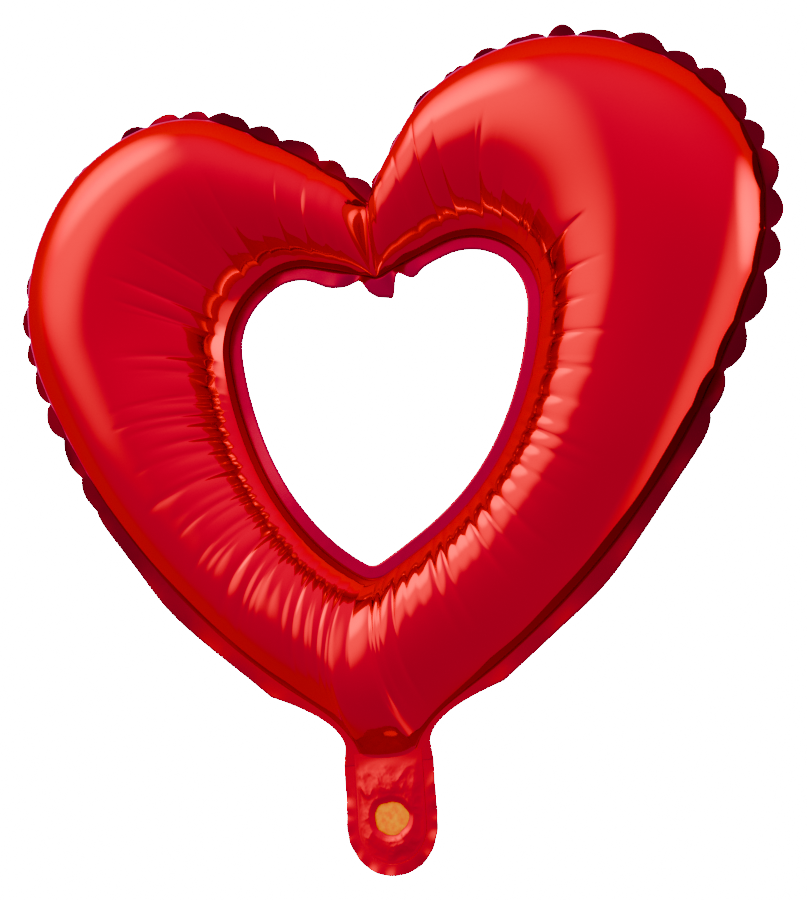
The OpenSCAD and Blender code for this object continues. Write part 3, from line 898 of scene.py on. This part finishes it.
def studio_world(scene):
    """A pale studio whose soft lights show in the foil, and a plain white backdrop."""
    world = bpy.data.worlds.new("studio")
    scene.world = world
    world.use_nodes = True
    tree = world.node_tree
    way = add(tree, "TexCoord", {}).outputs["Generated"]
    z = add(tree, "SeparateXYZ", {"Vector": way}).outputs["Z"]
    height = add(tree, "MapRange", {"Value": z, "From Min": -1})
    fill = add(tree, "ValToRGB", {"Fac": height.outputs["Result"]})
    stops = fill.color_ramp.elements
    for index, (at, level) in enumerate(FILL):
        stop = stops[index] if index < 2 else stops.new(at)
        stop.position = at
        stop.color = (level, level * FILL_GREEN, level, 1)
    total = fill.outputs["Color"]
    for right, up, core, edge, strength, tint in GLOWS:
        facing = add(tree, "VectorMath", {0: way, 1: heading(right, up)},
                     operation="DOT_PRODUCT")
        spread = add(tree, "MapRange", {
            "Value": facing.outputs["Value"], "From Min": math.cos(math.radians(edge)),
            "From Max": math.cos(math.radians(core)), "To Max": strength},
            interpolation_type="SMOOTHERSTEP")
        glow = add(tree, "VectorMath", {0: tint, "Scale": spread.outputs["Result"]},
                   operation="SCALE")
        total = add(tree, "VectorMath", {0: total, 1: glow.outputs["Vector"]}).outputs["Vector"]
    mirrored = add(tree, "Background", {"Color": total})
    backdrop = add(tree, "Background", {"Strength": BACKDROP})
    room = tree.nodes["Background"]
    feed(tree, room, {"Color": (1, 1, 1, 1), "Strength": ROOM_LIGHT})
    ray = add(tree, "LightPath", {}).outputs
    lit = add(tree, "MixShader", {"Fac": ray["Is Glossy Ray"], 1: room.outputs["Background"],
                                  2: mirrored.outputs["Background"]})
    seen = add(tree, "MixShader", {"Fac": ray["Is Camera Ray"], 1: lit.outputs["Shader"],
                                   2: backdrop.outputs["Background"]})
    feed(tree, tree.nodes["World Output"], {"Surface": seen.outputs["Shader"]})


FLOOR_Z, FLOOR_HALF = -0.7, 6
# the camera's turns from straight on: to the right, up from below, and a slight roll
YAW, PITCH, ROLL = 0.348, -0.223, -0.064
CAMERA_TARGET, CAMERA_DISTANCE, LENS = (0.0078, 0, 0.129), 0.792, 72


class BALLOON_OT_stage(bpy.types.Operator):
    """Makes the pale floor, the soft lights and the camera"""
    bl_idname = "balloon.stage"
    bl_label = "Stage"

    def execute(self, context):
        scene = context.scene
        scene.view_settings.look = "AgX - Medium High Contrast"
        mesh = bpy.data.meshes.new("floor")
        bm = bmesh.new()
        bmesh.ops.create_grid(bm, x_segments=1, y_segments=1, size=FLOOR_HALF)
        bmesh.ops.translate(bm, verts=bm.verts, vec=(0, 0, FLOOR_Z))
        bm.to_mesh(mesh)
        bm.free()
        floor = bpy.data.objects.new("floor", mesh)
        context.collection.objects.link(floor)
        paint = bpy.data.materials.new("pale floor")
        paint.use_nodes = True
        tree = paint.node_tree
        speckle = add(tree, "TexNoise", {"Scale": 3}).outputs["Fac"]
        feed(tree, tree.nodes["Principled BSDF"],
             {"Roughness": 0.9, "Base Color": varied(tree, speckle, 0.88, 0.93)})
        mesh.materials.append(paint)
        floor.visible_glossy = False

        studio_world(scene)
        lens = bpy.data.cameras.new("camera")
        lens.lens = LENS
        lens.clip_start = 0.01
        camera = bpy.data.objects.new("camera", lens)
        context.collection.objects.link(camera)
        turn = (Matrix.Rotation(ROLL, 3, "Z") @ Matrix.Rotation(PITCH, 3, "X")
                @ Matrix.Rotation(YAW, 3, "Y"))
        to_camera = Matrix(((1, 0, 0), (0, 0, -1), (0, 1, 0)))
        right, down, ahead = (Vector(axis) for axis in turn @ to_camera)
        place = Matrix.Translation(Vector(CAMERA_TARGET) - CAMERA_DISTANCE * ahead)
        camera.matrix_world = place @ Matrix((right, -down, -ahead)).transposed().to_4x4()
        scene.camera = camera
        return {"FINISHED"}


def make_ring(scene):
    """The seams of the filled heart, as the scene's settings shape them."""
    return Ring(scene.balloon_heart, scene.balloon_hole, scene.balloon_foil)


class BALLOON_OT_sheets(bpy.types.Operator):
    """Makes the filled front and rear foil sheets of the heart"""
    bl_idname = "balloon.sheets"
    bl_label = "Foil sheets"

    def execute(self, context):
        foil = context.scene.balloon_foil
        ring = make_ring(context.scene)
        material = foil_material("red foil", foil.red, 0.93, 0.07, 900, 0.002 * MM, 0.03)
        for name, side in (("front", -1), ("rear", 1)):
            sheet = tube_sheet(f"{name}_foil", ring, foil, side)
            finish_piece(sheet, material, "foil", "neck", f"{name}_panel")
        return {"FINISHED"}


class BALLOON_OT_welds(bpy.types.Operator):
    """Makes the welded flanges round the heart and round its opening"""
    bl_idname = "balloon.welds"
    bl_label = "Welded flanges"

    def execute(self, context):
        foil = context.scene.balloon_foil
        ring = make_ring(context.scene)
        # the curled weld's colour is painted shade: the dark scallops colour instead of the foil's
        # red, turning to a plainer red towards the neck
        foot = [c * 0.8 for c in foil.red]
        curled = foil_material("curled weld painted shade", foil.scallops, 0.6, 0.20, 160, 0.05 * MM, 0.05, foot)
        flat = foil_material("flat weld", foil.weld, 0.7, 0.20, 160, 0.05 * MM, 0.05)
        finish_piece(outer_flange(ring, foil), curled, "welded_foil", "neck", "outer_seam")
        finish_piece(inner_flange(ring, context.scene.balloon_hole), flat, "welded_foil",
                     "balloon", "inner_seam")
        return {"FINISHED"}


class BALLOON_OT_tail(bpy.types.Operator):
    """Makes the filling tail's sheets and its weld"""
    bl_idname = "balloon.tail"
    bl_label = "Filling tail"

    def execute(self, context):
        foil = context.scene.balloon_foil
        sheet = foil_material("tail foil", foil.red, 0.75, 0.30, 240, 0.02 * MM, 0.05)
        for name, side, area in (("front", -1, 0.00120), ("rear", 1, 0.00136)):
            film = tail_film(f"tail_{name}_foil", foil, side)
            finish_piece(film, sheet, "foil", "neck", f"tail_{name}_film")
        weld = foil_material("tail weld foil", foil.red, 0.70, 0.24, 200, 0.05 * MM, 0.05)
        finish_piece(tail_weld(foil), weld, "welded_foil", "tail", "tail_seam")
        return {"FINISHED"}


class BALLOON_OT_valve(bpy.types.Operator):
    """Makes the valve's coat and finishes its films"""
    bl_idname = "balloon.valve"
    bl_label = "Valve"

    def execute(self, context):
        foil = context.scene.balloon_foil
        finish_piece(coat_disc(), coat_material(foil.coat), "release_coat", "valve_flap",
                     "release_coat")
        film = film_material("valve film", foil.film, 0.2)
        for name in ("valve_sleeve", "valve_front_film", "valve_welds", "valve_rear_film"):
            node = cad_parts[name]
            node.data.materials.clear()
            node.data.materials.append(film)
        return {"FINISHED"}


class BALLOON_PT_panel(bpy.types.Panel):
    """Lists the steps that build the balloon"""
    bl_idname = "BALLOON_PT_panel"
    bl_label = "Balloon"
    bl_space_type = "VIEW_3D"
    bl_region_type = "UI"
    bl_category = "Balloon"

    def draw(self, context):
        for step in STEPS:
            self.layout.operator(step.bl_idname)
        for group in SETTINGS:
            settings = getattr(context.scene, group)
            box = self.layout.box()
            for name in settings.__annotations__:
                box.prop(settings, name)


SETTINGS = {"balloon_heart": BalloonHeart, "balloon_hole": BalloonHole,
            "balloon_foil": BalloonFoil}
STEPS = (BALLOON_OT_stage, BALLOON_OT_sheets, BALLOON_OT_welds, BALLOON_OT_tail,
         BALLOON_OT_valve)
CLASSES = (*SETTINGS.values(), *STEPS, BALLOON_PT_panel)


def register():
    for cls in CLASSES:
        bpy.utils.register_class(cls)
    for name, group in SETTINGS.items():
        setattr(bpy.types.Scene, name, PointerProperty(type=group))


def unregister():
    for name in SETTINGS:
        delattr(bpy.types.Scene, name)
    for cls in reversed(CLASSES):
        bpy.utils.unregister_class(cls)


def main():
    register()
    bpy.ops.balloon.stage()
    bpy.ops.balloon.sheets()
    bpy.ops.balloon.welds()
    bpy.ops.balloon.tail()
    bpy.ops.balloon.valve()


if __name__ == "__main__":
    main()
